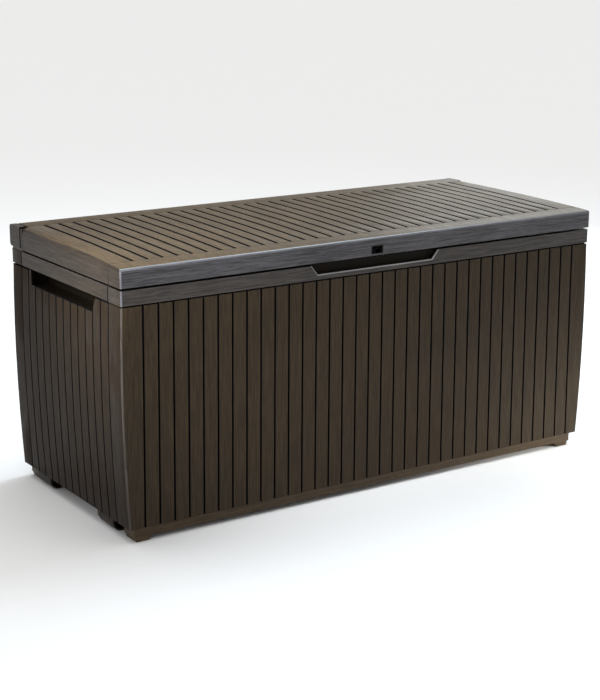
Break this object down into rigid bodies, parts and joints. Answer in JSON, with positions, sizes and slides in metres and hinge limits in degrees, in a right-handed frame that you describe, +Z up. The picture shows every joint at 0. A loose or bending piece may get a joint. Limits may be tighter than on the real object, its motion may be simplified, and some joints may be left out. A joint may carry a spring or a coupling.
{
  "type": "deck storage box",
  "caption": "Rectangular resin deck storage box with a board-patterned wall, hinged lid, end hand slots, front finger recess, padlock hasp and end wheels.",
  "frame": {"origin": "on the ground, under the middle of the overall box", "axes": "+X along the length to the end without wheels, -Y is the front, +Z up"},
  "size_m": [1.2322, 0.53, 0.583],
  "materials": {
    "body_brown": "dark brown moulded resin with a fine wood grain",
    "lid_brown": "brown moulded resin with a satin wood grain",
    "black_resin": "black moulded resin",
    "wheel_resin": "brown moulded resin, worn on the tread",
    "steel": "zinc-plated screw"
  },
  "bodies": {
    "box": {"front_panel": "body_brown", "front_band": "body_brown", "back_panel": "body_brown", "left_side_panel": "body_brown", "right_side_panel": "body_brown", "base_panel": "body_brown", "handle_cup_left": "black_resin", "handle_cup_right": "black_resin", "hinge_ear_left": "lid_brown", "hinge_ear_right": "lid_brown", "hinge_pin_left": "body_brown", "hinge_pin_right": "body_brown", "axle_front": "black_resin", "axle_rear": "black_resin", "axle_caps": "black_resin", "lock_hasp": "black_resin", "hasp_screws": "steel"},
    "lid": {"lid_shell": "lid_brown", "lid_liner": "body_brown", "lock_window": "black_resin"},
    "wheel_front": {"wheel_front": "wheel_resin"},
    "wheel_rear": {"wheel_rear": "wheel_resin"}
  },
  "joints": [
    {"name": "lid_hinge", "type": "hinge", "parent": "box", "child": "lid", "pos_m": [0, 0.2325, 0.5585], "axis": [-1, 0, 0], "range_deg": [0, 95]},
    {"name": "wheel_front_spin", "type": "hinge", "parent": "box", "child": "wheel_front", "pos_m": [-0.58, -0.143, 0.021], "axis": [0, 1, 0], "continuous": true},
    {"name": "wheel_rear_spin", "type": "hinge", "parent": "box", "child": "wheel_rear", "pos_m": [-0.58, 0.161, 0.021], "axis": [0, 1, 0], "continuous": true}
  ]
}
